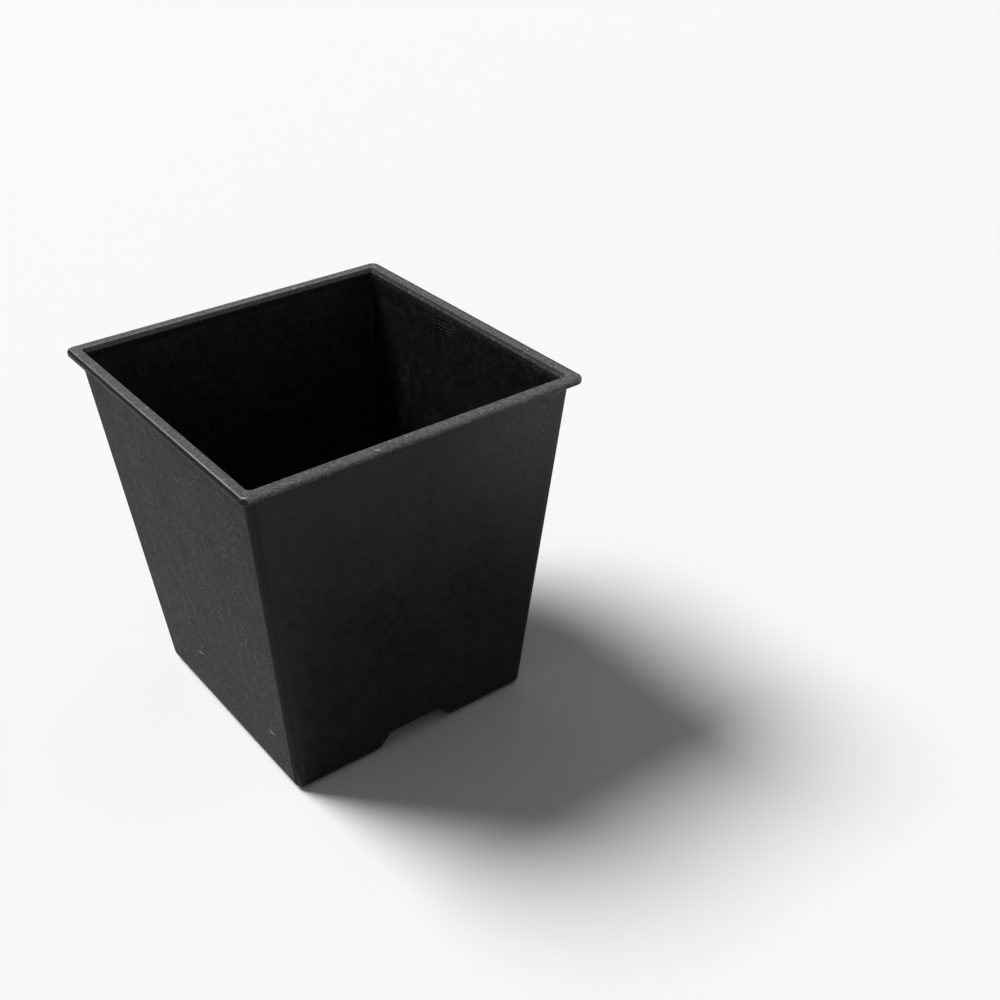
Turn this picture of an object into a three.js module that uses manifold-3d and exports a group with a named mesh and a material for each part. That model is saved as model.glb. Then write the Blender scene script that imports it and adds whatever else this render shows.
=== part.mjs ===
// Square nursery pot, moulded in black polypropylene.
//
// Four tapered walls carry a flat rim with a rounded edge. Underneath, two hollow foot rails leave a
// shallow recess between them, which drains through a notch at the front and at the back. The floor over
// the recess has a pattern of paired slots.
//
// Millimetres, +Z up. The origin is at the middle of the surface that the pot stands on. The plain sides
// face -X and +X, and the notched sides face -Y and +Y.

import * as THREE from 'three';
import { mergeVertices } from 'three/addons/utils/BufferGeometryUtils.js';
import Module from 'manifold-3d';

// Overall
const HEIGHT = 93.2;
const RIM_WIDTH = 90;
const BASE_WIDTH = 68.5;

// Rim
const LIP_THICKNESS = 1.8;
const LIP_OVERHANG = 2.3;
const LIP_CORNER = 2.1;
const LIP_EDGE = 0.6;
const LIP_FILLET = 0.9;
const MOUTH_BEVEL_DROP = 1.3;
const MOUTH_BEVEL_RUN = 0.45;

// Walls
const WALL = 1.4;
const WALL_CORNER = 2.1;

// Feet and the drain recess between them
const FOOT_HEIGHT = 5.2;
const FOOT_WIDTH = 6.6;
const FOOT_FILLET = 2.6;
const FOOT_NOSE = 2.6;
const RECESS_CORNER = 3;
const RECESS_DRAFT = 0.25;
const NOTCH_WIDTH_LOW = 23;
const NOTCH_WIDTH_HIGH = 15.2;

// Floor and its slots
const FLOOR = 1.3;
const SLOT_LENGTH = 6.2;
const SLOT_WIDTH = 1.5;
const SLOT_CORNER = 0.35;
const SLOT_PAIR_SPACING = 4.3;
const SLOT_MARGIN = 4.35;
const SLOT_ROWS = 4;

// Facets along half of a wall's corner, a quarter of a rounded edge, a small fillet, a corner of the
// recess and a corner of a slot
const CORNER_STEPS = 4;
const EDGE_STEPS = 6;
const FILLET_STEPS = 3;
const ARC_STEPS = 6;
const SLOT_STEPS = 2;

// The least radius of an inside corner, and how far a cutting shape reaches past the face that it cuts
const LEAST_CORNER = 0.2;
const CUT_MARGIN = 4;

const BLACK_PLASTIC = { color: 0x1b1b1c, roughness: 0.62, metalness: 0 };

// Sizes that follow from those above
const QUARTER = Math.PI / 2;
const rimHalf = RIM_WIDTH / 2;
const baseHalf = BASE_WIDTH / 2;
const lipEdge = Math.min(LIP_EDGE, 0.45 * LIP_THICKNESS);
const lipFillet = Math.min(LIP_FILLET, LIP_OVERHANG - lipEdge);
const lipUnderside = HEIGHT - LIP_THICKNESS;
const rimBottom = lipUnderside - lipFillet;
const wallSlope = (rimHalf - LIP_OVERHANG - baseHalf) / lipUnderside;
const wallLean = Math.atan(wallSlope);
const innerCorner = Math.max(WALL_CORNER - WALL, LEAST_CORNER);
const innerFillet = Math.max(FOOT_FILLET - FLOOR, LEAST_CORNER);
const recessHalf = baseHalf - FOOT_WIDTH;
const floorTop = FOOT_HEIGHT + FLOOR;

function wallOuter(z) {
  return baseHalf + wallSlope * z;
}

function wallInner(z) {
  return wallOuter(z) - WALL;
}

// Joining and cutting

const wasm = await Module();
wasm.setup();

function toSolid(geometry) {
  const bare = geometry.clone();
  bare.deleteAttribute('normal');
  bare.deleteAttribute('uv');
  const merged = mergeVertices(bare);
  const mesh = new wasm.Mesh({
    numProp: 3,
    vertProperties: new Float32Array(merged.attributes.position.array),
    triVerts: new Uint32Array(merged.index.array),
  });
  return new wasm.Manifold(mesh);
}

function toGeometry(solid) {
  const mesh = solid.getMesh();
  const geometry = new THREE.BufferGeometry();
  geometry.setAttribute('position', new THREE.BufferAttribute(mesh.vertProperties, 3));
  geometry.setIndex(new THREE.BufferAttribute(mesh.triVerts, 1));
  geometry.computeVertexNormals();
  return geometry;
}

// Outlines

function arc(x, y, radius, from, to, steps = ARC_STEPS) {
  const points = [];
  for (let step = 0; step <= steps; step += 1) {
    const turn = THREE.MathUtils.lerp(from, to, step / steps);
    points.push(new THREE.Vector2(x + radius * Math.cos(turn), y + radius * Math.sin(turn)));
  }
  return points;
}

// The front of a square with rounded corners, from the middle of one corner to the middle of the next
function frontSide({ half, corner, z }) {
  const points = [];
  const centre = half - corner;
  for (const end of [-1, 1]) {
    for (let step = 0; step <= CORNER_STEPS; step += 1) {
      const share = step / CORNER_STEPS;
      const turn = (QUARTER / 2) * (end < 0 ? 1 - share : share);
      const x = end * (centre + corner * Math.sin(turn));
      const y = -(centre + corner * Math.cos(turn));
      points.push(new THREE.Vector3(x, y, z));
    }
  }
  return points;
}

function quarterTurn(point) {
  return new THREE.Vector3(-point.y, point.x, point.z);
}

function squareLoop(section) {
  const loop = [];
  let side = frontSide(section);
  for (let count = 0; count < 4; count += 1) {
    loop.push(...side.slice(0, -1));
    side = side.map(quarterTurn);
  }
  return loop;
}

// Skins over rows of points. Each row runs anticlockwise seen from above, and the rows follow one another
// up the outside.

function skinTriangles(rows, rowsClose, pointsClose) {
  const count = rows[0].length;
  const rowEnd = rowsClose ? rows.length : rows.length - 1;
  const pointEnd = pointsClose ? count : count - 1;
  const triangles = [];
  for (let row = 0; row < rowEnd; row += 1) {
    const low = row * count;
    const high = ((row + 1) % rows.length) * count;
    for (let point = 0; point < pointEnd; point += 1) {
      const after = (point + 1) % count;
      triangles.push(low + point, low + after, high + after);
      triangles.push(low + point, high + after, high + point);
    }
  }
  return triangles;
}

function capTriangles(outline, indices, flip) {
  const triangles = [];
  for (const [a, b, c] of THREE.ShapeUtils.triangulateShape(outline, [])) {
    const face = flip ? [c, b, a] : [a, b, c];
    triangles.push(...face.map((corner) => indices[corner]));
  }
  return triangles;
}

function meshGeometry(points, triangles) {
  const geometry = new THREE.BufferGeometry().setFromPoints(points);
  geometry.setIndex(triangles);
  geometry.computeVertexNormals();
  return geometry;
}

// A solid through a stack of level outlines, closed flat at the bottom and the top
function loft(outlines) {
  const plan = (outline) => outline.map((point) => new THREE.Vector2(point.x, point.y));
  const bottom = outlines[0].map((point, index) => index);
  const top = bottom.map((index) => index + bottom.length * (outlines.length - 1));
  const triangles = skinTriangles(outlines, false, true);
  triangles.push(...capTriangles(plan(outlines[0]), bottom, true));
  triangles.push(...capTriangles(plan(outlines.at(-1)), top, false));
  return meshGeometry(outlines.flat(), triangles);
}

// A closed profile carried right round the square
function sweepAround(profile) {
  const rows = profile.map(squareLoop);
  return meshGeometry(rows.flat(), skinTriangles(rows, true, true));
}

// A closed profile carried along the front, from one diagonal of the square to the other
function sweepFront(profile) {
  const rows = profile.map(frontSide);
  const outline = profile.map((section) => new THREE.Vector2(section.half, section.z));
  const starts = rows.map((row, index) => index * row.length);
  const ends = rows.map((row, index) => (index + 1) * row.length - 1);
  const triangles = skinTriangles(rows, true, false);
  triangles.push(...capTriangles(outline, starts, false));
  triangles.push(...capTriangles(outline, ends, true));
  return meshGeometry(rows.flat(), triangles);
}

// Rim: up the fillet under the lip, round the lip's two edges, over the flat top and down the bevelled mouth
function rimProfile() {
  const profile = [];
  for (let step = 0; step <= FILLET_STEPS; step += 1) {
    const turn = QUARTER * (step / FILLET_STEPS);
    const outset = lipFillet * (1 - Math.cos(turn));
    profile.push({
      half: wallOuter(rimBottom) + outset,
      corner: WALL_CORNER + outset,
      z: rimBottom + lipFillet * Math.sin(turn),
    });
  }
  for (const [centreZ, from] of [[lipUnderside + lipEdge, -QUARTER], [HEIGHT - lipEdge, 0]]) {
    for (let step = 0; step <= EDGE_STEPS; step += 1) {
      const turn = from + QUARTER * (step / EDGE_STEPS);
      const inset = lipEdge * (1 - Math.cos(turn));
      profile.push({
        half: rimHalf - inset,
        corner: Math.max(LIP_CORNER - inset, LEAST_CORNER),
        z: centreZ + lipEdge * Math.sin(turn),
      });
    }
  }
  const bevelBottom = HEIGHT - MOUTH_BEVEL_DROP;
  const mouthHalf = wallInner(bevelBottom) + MOUTH_BEVEL_RUN;
  profile.push({ half: mouthHalf, corner: innerCorner + MOUTH_BEVEL_RUN, z: HEIGHT });
  profile.push({ half: wallInner(bevelBottom), corner: innerCorner, z: bevelBottom });
  profile.push({ half: wallInner(rimBottom), corner: innerCorner, z: rimBottom });
  return profile;
}

// Walls: one leaning profile, from the top of the feet to the bottom of the rim
function wallProfile() {
  return [
    { half: wallOuter(FOOT_HEIGHT), corner: WALL_CORNER, z: FOOT_HEIGHT },
    { half: wallOuter(rimBottom), corner: WALL_CORNER, z: rimBottom },
    { half: wallInner(rimBottom), corner: innerCorner, z: rimBottom },
    { half: wallInner(FOOT_HEIGHT), corner: innerCorner, z: FOOT_HEIGHT },
  ];
}

// A block with the walls' lean and a rounded bottom edge, set in from the walls' outer face by inset
function taperedBlock({ inset, corner, fillet, bottom, top }) {
  const sections = [];
  const tangentZ = bottom + fillet * (1 - Math.sin(wallLean));
  const arcCentre = wallOuter(tangentZ) - inset - fillet * Math.cos(wallLean);
  for (let step = 0; step <= EDGE_STEPS; step += 1) {
    const turn = -QUARTER + (QUARTER - wallLean) * (step / EDGE_STEPS);
    const z = bottom + fillet * (1 + Math.sin(turn));
    const half = arcCentre + fillet * Math.cos(turn);
    const drawnIn = wallOuter(z) - inset - half;
    sections.push({ half, corner: Math.max(corner - drawnIn, LEAST_CORNER), z });
  }
  sections.push({ half: wallOuter(top) - inset, corner, z: top });
  return loft(sections.map(squareLoop));
}

function pocketBlock() {
  return taperedBlock({
    inset: WALL,
    corner: innerCorner,
    fillet: innerFillet,
    bottom: FLOOR,
    top: floorTop + CUT_MARGIN,
  });
}

// Plan of the drain recess at a height: a square with rounded corners, which opens to the front and the
// back through a channel between the rounded noses of the feet. skin sets it out by a wall thickness.
function recessPlan(z, skin) {
  const rise = z / FOOT_HEIGHT;
  const noseSlope = (NOTCH_WIDTH_LOW - NOTCH_WIDTH_HIGH) / 2 / FOOT_HEIGHT;
  const half = recessHalf - RECESS_DRAFT * rise + skin;
  const gap = NOTCH_WIDTH_LOW / 2 - noseSlope * z + skin * Math.hypot(1, noseSlope);
  const nose = Math.max(FOOT_NOSE - skin, LEAST_CORNER);
  const corner = RECESS_CORNER + skin;
  const reach = rimHalf + CUT_MARGIN;
  const rightSide = [
    new THREE.Vector2(gap, -reach),
    ...arc(gap + nose, -half - nose, nose, Math.PI, QUARTER),
    ...arc(half - corner, corner - half, corner, -QUARTER, 0),
    ...arc(half - corner, half - corner, corner, 0, QUARTER),
    ...arc(gap + nose, half + nose, nose, -QUARTER, -Math.PI),
    new THREE.Vector2(gap, reach),
  ];
  const leftSide = rightSide.map((point) => point.clone().negate());
  return [...rightSide, ...leftSide];
}

function recessBlock(skin, bottom, top) {
  const atHeight = (z) => recessPlan(z, skin).map((point) => new THREE.Vector3(point.x, point.y, z));
  return loft([bottom, top].map(atHeight));
}

// Feet: the foot of the walls with the recess cut out, hollowed from above to one skin
function makeFeet() {
  const below = -CUT_MARGIN;
  const above = FOOT_HEIGHT + CUT_MARGIN;
  const block = taperedBlock({
    inset: 0,
    corner: WALL_CORNER,
    fillet: FOOT_FILLET,
    bottom: 0,
    top: FOOT_HEIGHT,
  });
  const hollow = toSolid(pocketBlock()).subtract(toSolid(recessBlock(FLOOR, below, above)));
  return toSolid(block).subtract(toSolid(recessBlock(0, below, above))).subtract(hollow);
}

// The half of the feet on one side of the pot's middle: side is -1 for the left and 1 for the right
function makeFoot(feet, side) {
  const halfSpace = new THREE.BoxGeometry(RIM_WIDTH, 2 * RIM_WIDTH, 2 * HEIGHT);
  halfSpace.translate((side * RIM_WIDTH) / 2, 0, 0);
  return toGeometry(feet.intersect(toSolid(halfSpace)));
}

// Drain floor: a plate that caps the recess and its two channel ends, with its slots cut through

function slotGeometry() {
  const x = SLOT_WIDTH / 2 - SLOT_CORNER;
  const y = SLOT_LENGTH / 2 - SLOT_CORNER;
  const shape = new THREE.Shape([
    ...arc(x, -y, SLOT_CORNER, -QUARTER, 0, SLOT_STEPS),
    ...arc(x, y, SLOT_CORNER, 0, QUARTER, SLOT_STEPS),
    ...arc(-x, y, SLOT_CORNER, QUARTER, Math.PI, SLOT_STEPS),
    ...arc(-x, -y, SLOT_CORNER, Math.PI, Math.PI + QUARTER, SLOT_STEPS),
  ]);
  const depth = FLOOR + 2 * CUT_MARGIN;
  const geometry = new THREE.ExtrudeGeometry(shape, { depth, bevelEnabled: false });
  return geometry.translate(0, 0, FOOT_HEIGHT - CUT_MARGIN);
}

function makeDrainFloor() {
  const outline = recessPlan(FOOT_HEIGHT, FLOOR);
  const level = (z) => outline.map((point) => new THREE.Vector3(point.x, point.y, z));
  let floor = toSolid(loft([level(FOOT_HEIGHT), level(floorTop)])).intersect(toSolid(pocketBlock()));
  const span = 2 * (recessHalf - SLOT_MARGIN) - SLOT_LENGTH;
  const pitch = span / (SLOT_ROWS - 1);
  const slot = toSolid(slotGeometry());
  for (let row = 0; row < SLOT_ROWS; row += 1) {
    for (let column = 0; column < SLOT_ROWS; column += 1) {
      for (const side of [-1, 1]) {
        const x = column * pitch - span / 2 + (side * SLOT_PAIR_SPACING) / 2;
        const y = row * pitch - span / 2;
        floor = floor.subtract(slot.translate([x, y, 0]));
      }
    }
  }
  return toGeometry(floor);
}

// Assembly

const pot = new THREE.Group();

function addPiece(name, geometry) {
  const piece = new THREE.Mesh(geometry, new THREE.MeshStandardMaterial(BLACK_PLASTIC));
  piece.name = name;
  pot.add(piece);
  return piece;
}

addPiece('rim', sweepAround(rimProfile()));

const wallGeometry = sweepFront(wallProfile());
['wall_front', 'wall_right', 'wall_back', 'wall_left'].forEach((name, side) => {
  addPiece(name, wallGeometry).rotation.z = side * QUARTER;
});

addPiece('drain_floor', makeDrainFloor());

const feet = makeFeet();
addPiece('foot_left', makeFoot(feet, -1));
addPiece('foot_right', makeFoot(feet, 1));

export default pot;
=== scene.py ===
# Looks for the square nursery pot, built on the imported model.
#
# Each piece is a closed skin that takes the place of one solid of the model. It has the solid's sizes,
# apart from a slightly flatter bevel round the mouth, and adds the rounded edges, the drawn-in walls and
# the uneven lip of a thin moulding. Lengths are in millimetres until a mesh is made, and in metres after.

import math

import bmesh
import bpy
from mathutils import Matrix, Vector, noise
from mathutils.geometry import delaunay_2d_cdt


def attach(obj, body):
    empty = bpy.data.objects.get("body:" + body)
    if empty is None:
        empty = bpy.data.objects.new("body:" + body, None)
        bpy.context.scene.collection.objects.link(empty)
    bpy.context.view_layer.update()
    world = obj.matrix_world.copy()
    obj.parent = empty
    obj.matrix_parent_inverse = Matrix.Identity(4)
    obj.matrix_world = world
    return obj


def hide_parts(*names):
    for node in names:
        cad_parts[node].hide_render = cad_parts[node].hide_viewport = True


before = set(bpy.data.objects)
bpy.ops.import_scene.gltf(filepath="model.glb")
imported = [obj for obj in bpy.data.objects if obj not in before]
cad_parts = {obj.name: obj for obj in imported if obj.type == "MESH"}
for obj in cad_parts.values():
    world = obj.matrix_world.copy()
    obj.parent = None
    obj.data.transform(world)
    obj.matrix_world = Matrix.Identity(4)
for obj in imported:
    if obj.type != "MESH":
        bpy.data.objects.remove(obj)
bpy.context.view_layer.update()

MM = 0.001
QUARTER = math.pi / 2
SLOT = "black_polypropylene"
SHARP_ANGLE = math.radians(35.0)
MERGE_DISTANCE = 1e-7
WAVE_SHIFT = (1.0, 2.7, -1.3)

# Sides of the pot, as quarter turns from the front. Four values in a row are in this order.
FRONT, RIGHT, BACK, LEFT = range(4)
SIDE_NAMES = ("front", "right", "back", "left")

# Sizes of the pot
HEIGHT = 93.2
RIM_HALF = 45.0
BASE_HALF = 34.25
LIP_THICKNESS = 1.8
LIP_OVERHANG = 2.3
LIP_CORNER = 2.1
LIP_EDGE = 0.6
LIP_FILLET = 0.9
MOUTH_BEVEL_DROP = 1.1
MOUTH_BEVEL_RUN = 0.6
WALL = 1.4
WALL_CORNER = 2.1
FOOT_HEIGHT = 5.2
FOOT_WIDTH = 6.6
FOOT_FILLET = 2.6
FOOT_NOSE = 2.6
RECESS_CORNER = 3.0
RECESS_DRAFT = 0.25
NOTCH_HALF_LOW = 11.5
NOTCH_HALF_HIGH = 7.6
FLOOR = 1.3
SLOT_LENGTH = 6.2
SLOT_WIDTH = 1.5
SLOT_CORNER = 0.35
SLOT_PAIR_SPACING = 4.3
SLOT_MARGIN = 4.35
SLOT_ROWS = 4

# Small roundings of the skins
UNDERLIP_ROUNDING = 0.9 * LIP_FILLET
MOUTH_EDGE = 0.2
BEVEL_EDGE = 0.45
NOTCH_EDGE = 0.35
RECESS_EDGE = 0.45
TROUGH_EDGE = 0.5
FOOT_END = 0.4
TROUGH_END = 0.02
PLATE_EDGE = 0.4
SLOT_EDGE = 0.16

# Steps of the skins
CORNER_STEPS = 8
FLAT_STEPS = 72
WALL_ROWS = 64
EDGE_STEPS = 6
FOOT_FLAT_STEPS = 24
FOOT_END_STEPS = 3
END_ARC_STEPS = 4
ARC_STEPS = 12
SLOT_ARC_STEPS = 5
SLOT_EDGE_STEPS = 3

# Sizes that follow from the others
LIP_UNDERSIDE = HEIGHT - LIP_THICKNESS
RIM_BOTTOM = LIP_UNDERSIDE - LIP_FILLET
BEVEL_BOTTOM = HEIGHT - MOUTH_BEVEL_DROP
WALL_SLOPE = (RIM_HALF - LIP_OVERHANG - BASE_HALF) / LIP_UNDERSIDE
WALL_LEAN = math.atan(WALL_SLOPE)
INNER_CORNER = WALL_CORNER - WALL
MOUTH_CORNER = INNER_CORNER + MOUTH_BEVEL_RUN
INNER_FILLET = FOOT_FILLET - FLOOR
RECESS_HALF = BASE_HALF - FOOT_WIDTH
FLOOR_TOP = FOOT_HEIGHT + FLOOR
NOTCH_SLOPE = (NOTCH_HALF_LOW - NOTCH_HALF_HIGH) / FOOT_HEIGHT

# How scuffed each side is: the walls, the rim's top and the inside; then the rest of the pot
WALL_GRAIN = (0.15, 0.6, 0.5, 1.0)
LOW_FRONT_GRAIN = 0.28
LOW_FRONT_HEIGHTS = (10.0, 40.0)
RIM_TOP_GRAIN = (0.4, 0.4, 0.4, 0.2)
INSIDE_GRAIN = (0.2, 0.2, 0.5, 0.55)
PLAIN_GRAIN = 0.5

# Round a corner: the share of its turn that a change takes, and how dull the walls are there
CORNER_BLEND = 0.3
CORNER_DULL = 0.7
DULL_TURNS = (0.15, 0.8)
INSIDE_CORNER_DULL = 0.9


def wall_outer(z):
    return BASE_HALF + WALL_SLOPE * z


def wall_inner(z):
    return wall_outer(z) - WALL


def lerp(a, b, share):
    return a + (b - a) * share


def smooth(low, high, value):
    """A soft step from 0 at low to 1 at high."""
    share = min(max((value - low) / (high - low), 0.0), 1.0)
    return share * share * (3.0 - 2.0 * share)


def hump(middle, width, value):
    """1 at the middle, with a soft fall to 0 on both sides of it."""
    return math.exp(-(((value - middle) / width) ** 2))


def wave(point, size, shift):
    """A smooth random wave, from about -1 to 1. The shift picks another part of it."""
    return noise.noise(Vector(point) / size + Vector([shift * share for share in WAVE_SHIFT]))


# Meshes

# The wear field carries wear and also painted light: highlights, light on the rim's rounding and bevel,
# and a reflection on the front wall
FIELDS = ("wear_and_light", "grain", "inner", "dull")


class Skin:
    """The points of a piece, each with the values that the material reads."""

    def __init__(self):
        self.points = []
        self.fields = {name: [] for name in FIELDS}

    def add(self, point, wear_and_light=0.0, grain=PLAIN_GRAIN, inner=0.0, dull=0.0):
        self.points.append(point)
        for name, value in zip(FIELDS, (wear_and_light, grain, inner, dull)):
            self.fields[name].append(value)


def make_piece(name, node, skin, faces):
    mesh = bpy.data.meshes.new(name)
    mesh.from_pydata([[value * MM for value in point] for point in skin.points], [], faces)
    for label, values in skin.fields.items():
        mesh.attributes.new(label, "FLOAT", "POINT").data.foreach_set("value", values)
    work = bmesh.new()
    work.from_mesh(mesh)
    bmesh.ops.triangulate(work, faces=[face for face in work.faces if len(face.verts) > 4])
    bmesh.ops.recalc_face_normals(work, faces=work.faces)
    work.to_mesh(mesh)
    work.free()
    mesh.polygons.foreach_set("use_smooth", [True] * len(mesh.polygons))
    mesh.set_sharp_from_angle(angle=SHARP_ANGLE)
    piece = bpy.data.objects.new(name, mesh)
    bpy.context.scene.collection.objects.link(piece)
    mesh.materials.append(plastic)
    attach(piece, "root")
    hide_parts(node)


def grid_faces(rows, count, rows_close, points_close):
    """Quads between rows of points. The rows, and the points in each row, may close into a ring."""
    faces = []
    for row in range(rows if rows_close else rows - 1):
        low = row * count
        high = (row + 1) % rows * count
        for point in range(count if points_close else count - 1):
            after = (point + 1) % count
            faces.append((low + point, low + after, high + after, high + point))
    return faces


# Outlines of the square


def front_columns():
    """Turn from the front's own direction, and place along its flat, for each column of points."""
    columns = [(-QUARTER / 2 * (1 - step / CORNER_STEPS), -1.0) for step in range(CORNER_STEPS)]
    columns += [(0.0, 2.0 * step / FLAT_STEPS - 1.0) for step in range(FLAT_STEPS + 1)]
    columns += [(QUARTER / 2 * step / CORNER_STEPS, 1.0) for step in range(1, CORNER_STEPS + 1)]
    return columns


COLUMNS = front_columns()


def front_point(half, corner, column):
    turn, along = column
    flat = half - corner
    return flat * along + corner * math.sin(turn), -(flat + corner * math.cos(turn))


def quarter_turns(x, y, turns):
    for _ in range(turns):
        x, y = -y, x
    return x, y


def corner_turn(x, y, flat):
    """0 on the left and right sides, 1 on the front and back, and between the two round a corner."""
    return math.atan2(max(abs(y) - flat, 0.0), max(abs(x) - flat, 0.0)) / QUARTER


def side_value(values, x, y, flat):
    """The value of the side that a point is on, which goes over into the next side's round a corner."""
    share = smooth(0.0, CORNER_BLEND, corner_turn(x, y, flat))
    return lerp(values[RIGHT if x > 0.0 else LEFT], values[FRONT if y < 0.0 else BACK], share)


def wall_grain(x, y, z, flat):
    """How scuffed a wall's outside is. The front is scuffed more low down."""
    front = lerp(LOW_FRONT_GRAIN, WALL_GRAIN[FRONT], smooth(*LOW_FRONT_HEIGHTS, z))
    return side_value((front, *WALL_GRAIN[RIGHT:]), x, y, flat)


def corner_dull(x, y, flat):
    """How dull a wall's outside is round its corner."""
    turn = corner_turn(x, y, flat)
    return CORNER_DULL * smooth(0.0, DULL_TURNS[0], turn) * smooth(1.0, DULL_TURNS[1], turn)


def rounded(profile):
    """A closed profile of (half, z, corner, radius), with an arc at each corner that has a radius."""
    points = []
    for index, (half, z, corner, radius) in enumerate(profile):
        if radius <= 0.0:
            points.append((half, z, corner))
            continue
        here = Vector((half, z))
        before = (Vector(profile[index - 1][:2]) - here).normalized()
        after = (Vector(profile[(index + 1) % len(profile)][:2]) - here).normalized()
        opening = before.angle(after)
        reach = radius / math.tan(opening / 2)
        centre = here + (before + after).normalized() * (radius / math.sin(opening / 2))
        start = here + before * reach - centre
        end = here + after * reach - centre
        turn = math.atan2(start.x * end.y - start.y * end.x, start.dot(end))
        for step in range(EDGE_STEPS + 1):
            spot = centre + Matrix.Rotation(turn * step / EDGE_STEPS, 2) @ start
            points.append((spot.x, spot.y, corner + spot.x - half))
    return points


# Rim

# How uneven the lip is: size, shift and upright squeeze of each wave, and how much of it the top takes
LIP_WAVE = 0.035
LIP_WAVES = ((2.2, 3.0, 2.0), (7.0, 9.0, 1.0))
LIP_WAVE_START = 0.2
LIP_WAVE_INSETS = (1.6, 0.6)
TOP_SINK = 0.4
TOP_SINK_DEPTHS = (0.7, 0.2)

# How rubbed each side of the rim is, with painted light in it: its outer rounding (painted light at the
# front and round the corners, wear at the back), the mouth's bevel (painted light at the back) and the
# bevel's lower line (a painted highlight at the right)
ROUNDING_WEAR_AND_LIGHT = (0.9, 0.0, 0.5, 0.0)
BEVEL_WEAR_AND_LIGHT = (0.2, 0.06, 1.75, 0.1)
BEVEL_LINE_HIGHLIGHT = (0.0, 0.22, 0.0, 0.0)
CORNER_BEVEL_WEAR = 0.1
BEVEL_TOP_SHARE = 0.6
BEVEL_LINE_DEPTH = MOUTH_BEVEL_DROP - 0.1
BEVEL_LINE_WIDTH = 0.16
TOP_WEAR = 0.37

# A painted highlight along the left side's top edge, whose strength goes from the first value at the front
# to the second; it is brightest round the near corner
LINE_HIGHLIGHT = (1.8, 1.15)
LINE_PLACES = (-40.0, 30.0)
LINE_UNEVENNESS = 0.3
LINE_WAVE = (2.6, 4.0)
LINE_INSET = 0.78
LINE_WIDTH = 0.15
CORNER_HIGHLIGHT = 2.8

# The rim's outer face, which has a painted reflection at the front's right end
FACE_WEAR = 0.06
RIGHT_END_WEAR_AND_REFLECTION = 0.14
RIGHT_END_X = (10.0, 44.0)
RIGHT_END_Y = (-30.0, -43.0)
FACE_LINE_WEAR = 0.07
FACE_LINE_DEPTH = 1.0
FACE_LINE_WIDTH = 0.2
LEFT_FACE_WEAR = 0.15
LEFT_FACE_PLACES = (-5.0, 42.0)
EDGE_DULL = (0.0, 1.0, 0.0, 1.0)

# Where these change: depths under the rim's top, insets from its outer side, and turns round a corner
FLAT_DEPTHS = (0.12, 0.02)
ROUNDING_DEPTHS = (0.85, 0.1)
FACE_DEPTHS = (1.7, 1.1)
LEFT_FACE_DEPTHS = (1.75, 1.3)
LEFT_FACE_END_DEPTHS = (0.35, 0.6)
BEVEL_DEPTHS = (MOUTH_BEVEL_DROP + 0.1, MOUTH_BEVEL_DROP - 0.2)
BEVEL_TOP_DEPTHS = (0.55, 0.2)
TOP_GRAIN_DEPTHS = (0.8, 0.45)
EDGE_DULL_DEPTHS = (0.55, 0.38)
EDGE_DULL_INSETS = (0.66, 0.5)
CRISP_INSETS = (0.7, 0.95, 0.95, 0.7)
MOUTH_INSETS = (2.4, 2.8)
ROUND_TURNS = (0.35, 0.75)
NEAR_TURNS = (0.1, 0.6)
NEAR_LINE_TURNS = (0.2, 0.6)
BEVEL_TURNS = (0.0, 0.4)

# Rows of points across the rim's flat top, close together where the line is
RIM_TOP_INSETS = (0.65, 0.7, 0.78, 0.88, 1.0, 1.2, 1.5, 1.9, 2.5)


def near_top(depths, z):
    """A soft step between two depths under the rim's top."""
    return smooth(HEIGHT - depths[0], HEIGHT - depths[1], z)


def near_side(insets, half):
    """A soft step between two insets from the rim's outer side."""
    return smooth(RIM_HALF - insets[0], RIM_HALF - insets[1], half)


def rim_crispness(turns, turn):
    """1 where the rim's outer edge is crisp: on the left and right sides, and round the near corner."""
    if turns == FRONT:
        return smooth(*NEAR_TURNS, -turn)
    if turns == BACK:
        return 0.0
    if turns == LEFT and turn > 0.0:
        return 1.0
    return 1.0 - smooth(*ROUND_TURNS, abs(turn))


def highlight_line(turns, turn, y):
    """A painted highlight along the left side's top edge: brighter towards the near corner, and brightest
    round it.
    """
    if turns == FRONT:
        return CORNER_HIGHLIGHT * smooth(*NEAR_LINE_TURNS, -turn)
    if turns == LEFT:
        line = lerp(*LINE_HIGHLIGHT, smooth(*LINE_PLACES, y))
        line *= 1.0 + LINE_UNEVENNESS * wave((0.0, y, 0.0), *LINE_WAVE)
        return lerp(line, CORNER_HIGHLIGHT, smooth(*NEAR_TURNS, turn))
    return 0.0


def round_wear_and_light(z, turns, turn, x, y):
    """How rubbed the top and the outer side are where the edge between them is round, with painted light
    on the front's rounding and round the corners, and a painted reflection at the front's right end.
    """
    right_end = smooth(*RIGHT_END_X, x) * smooth(*RIGHT_END_Y, y)
    # the front face's right end has a painted reflection
    face = lerp(FACE_WEAR, RIGHT_END_WEAR_AND_REFLECTION, right_end) * near_top(FACE_DEPTHS, z)
    corner = smooth(*ROUND_TURNS, abs(turn)) * max(ROUNDING_WEAR_AND_LIGHT)
    # painted light on the front's rounding and round the corners, with wear on the back's
    edge = max(ROUNDING_WEAR_AND_LIGHT[turns], corner) * near_top(ROUNDING_DEPTHS, z)
    return lerp(face + edge, TOP_WEAR, near_top(FLAT_DEPTHS, z))


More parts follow.
